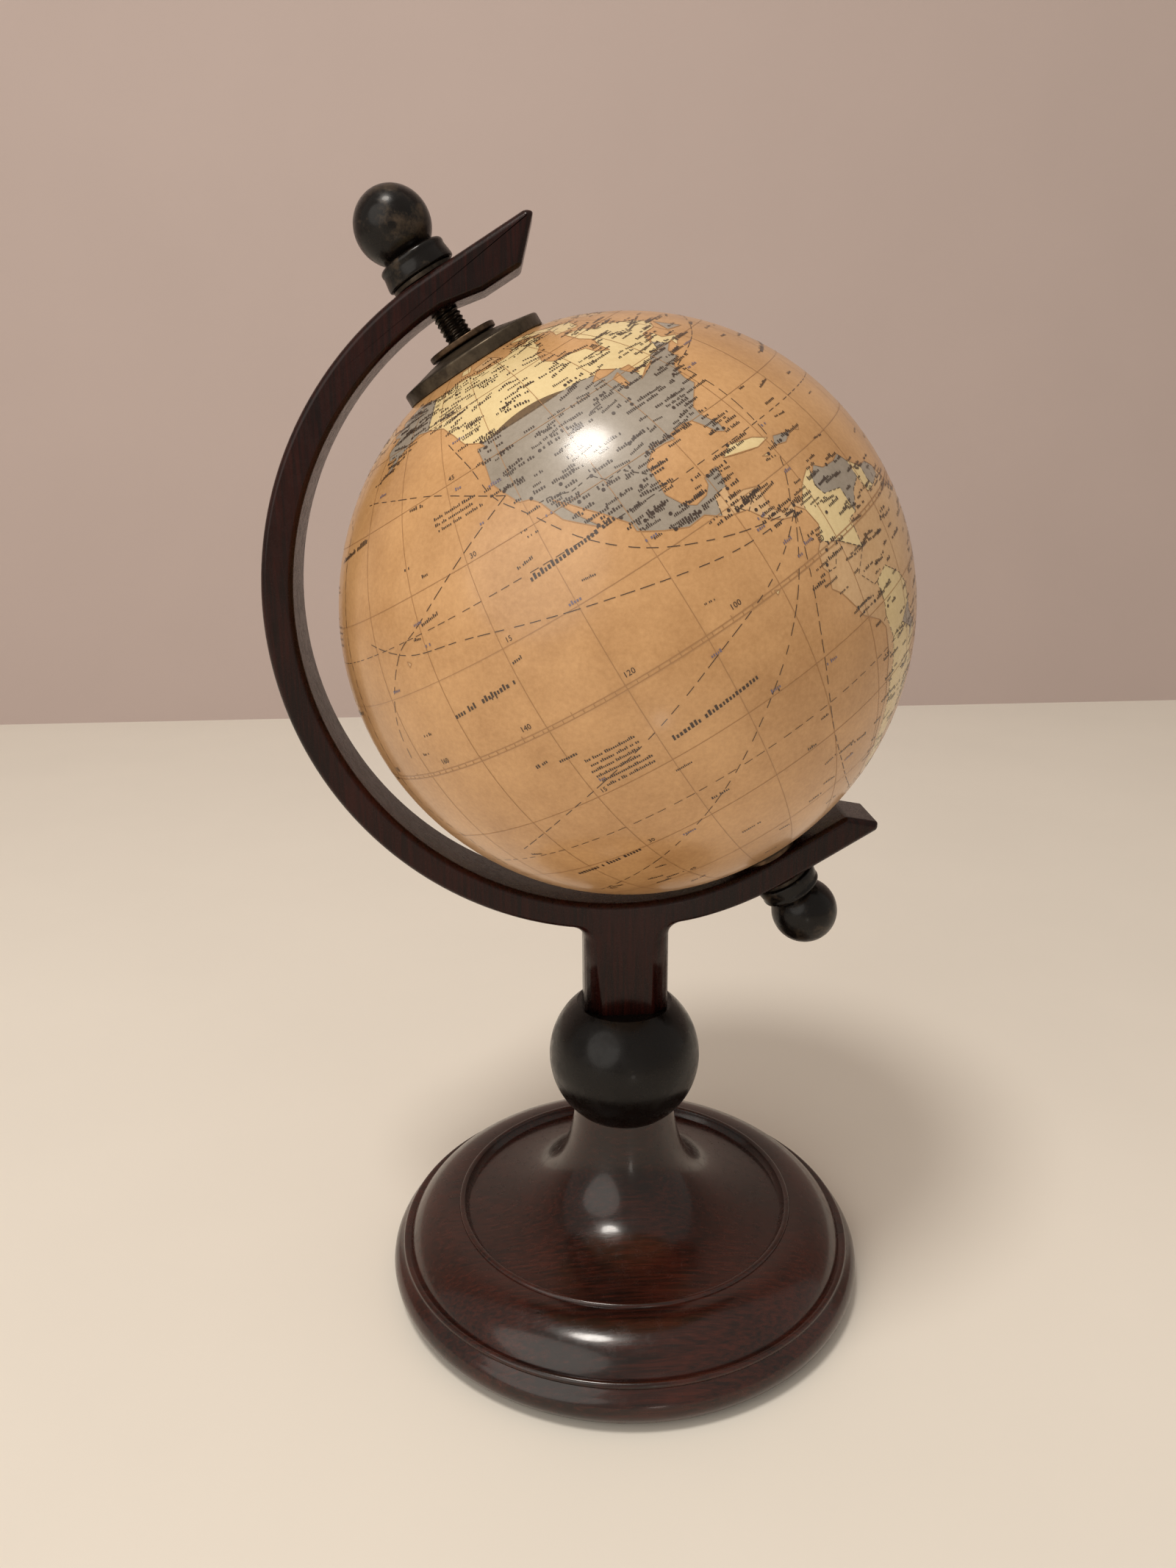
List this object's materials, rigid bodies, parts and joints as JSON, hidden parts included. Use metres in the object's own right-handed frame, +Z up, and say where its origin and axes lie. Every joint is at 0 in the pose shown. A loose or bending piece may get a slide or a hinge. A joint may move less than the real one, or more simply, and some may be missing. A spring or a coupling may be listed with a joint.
{
  "type": "desktop globe on stand",
  "caption": "Desk globe that spins on a leaning threaded rod, held by a C shaped wooden arm on a ball and a turned wooden base.",
  "frame": {"origin": "centre of the felt's underside, on the base's axis", "axes": "+Z up, +X towards the side that the lower knob leans to, so the arm lies in the XZ plane and its top leans to -X"},
  "size_m": [0.1429, 0.127, 0.26],
  "materials": {
    "mahogany": "stained and lacquered mahogany, gloss",
    "felt": "dark wool felt",
    "black_lacquer": "black lacquered turned wood, gloss",
    "dark_mahogany": "dark stained and lacquered mahogany, gloss",
    "bolt_steel": "zinc plated steel",
    "insert_brass": "machined brass",
    "rod_steel": "oiled black threaded steel",
    "map_paper": "printed paper gores under gloss varnish",
    "shell_board": "pressed fibre board",
    "bush_nylon": "moulded nylon",
    "cap_bronze": "dark bronze paint over turned metal, satin",
    "washer_bronze": "browned steel, satin",
    "knob_lacquer": "worn black lacquer over turned hardwood, gloss"
  },
  "bodies": {
    "stand": {"base": "mahogany", "base_felt": "felt", "ball_knop": "black_lacquer", "arm": "dark_mahogany", "column_bolt": "bolt_steel", "column_washer": "bolt_steel", "stem_insert": "insert_brass", "axle_rod": "rod_steel", "south_washer": "washer_bronze"},
    "globe": {"map_skin": "map_paper", "globe_north_half": "shell_board", "globe_south_half": "shell_board", "equator_ring": "shell_board", "north_bush": "bush_nylon", "south_bush": "bush_nylon", "north_cap": "cap_bronze", "north_washer": "washer_bronze", "south_cap": "cap_bronze"},
    "top_collar": {"top_knob_washer": "rod_steel"},
    "top_grip": {"top_knob": "knob_lacquer", "top_knob_insert": "insert_brass"},
    "bottom_collar": {"bottom_knob_washer": "rod_steel"},
    "bottom_grip": {"bottom_knob": "knob_lacquer", "bottom_knob_insert": "insert_brass"}
  },
  "joints": [
    {"name": "globe_spin", "type": "hinge", "parent": "stand", "child": "globe", "pos_m": [0, 0, 0.17222], "axis": [-0.515, 0, 0.8572], "continuous": true},
    {"name": "top_knob_turn", "type": "hinge", "parent": "stand", "child": "top_collar", "pos_m": [0, 0, 0.17222], "axis": [-0.515, 0, 0.8572], "range_deg": [0, 1080]},
    {"name": "top_knob_travel", "type": "slide", "parent": "top_collar", "child": "top_grip", "axis": [-0.515, 0, 0.8572], "range_m": [0, 0.003]},
    {"name": "bottom_knob_turn", "type": "hinge", "parent": "stand", "child": "bottom_collar", "pos_m": [0, 0, 0.17222], "axis": [0.515, 0, -0.8572], "range_deg": [0, 1080]},
    {"name": "bottom_knob_travel", "type": "slide", "parent": "bottom_collar", "child": "bottom_grip", "axis": [0.515, 0, -0.8572], "range_m": [0, 0.003]}
  ],
  "couplings": [
    {"joint": "top_knob_turn", "follows": "top_knob_travel", "rad_per_m": 6283.2},
    {"joint": "bottom_knob_turn", "follows": "bottom_knob_travel", "rad_per_m": 6283.2}
  ]
}
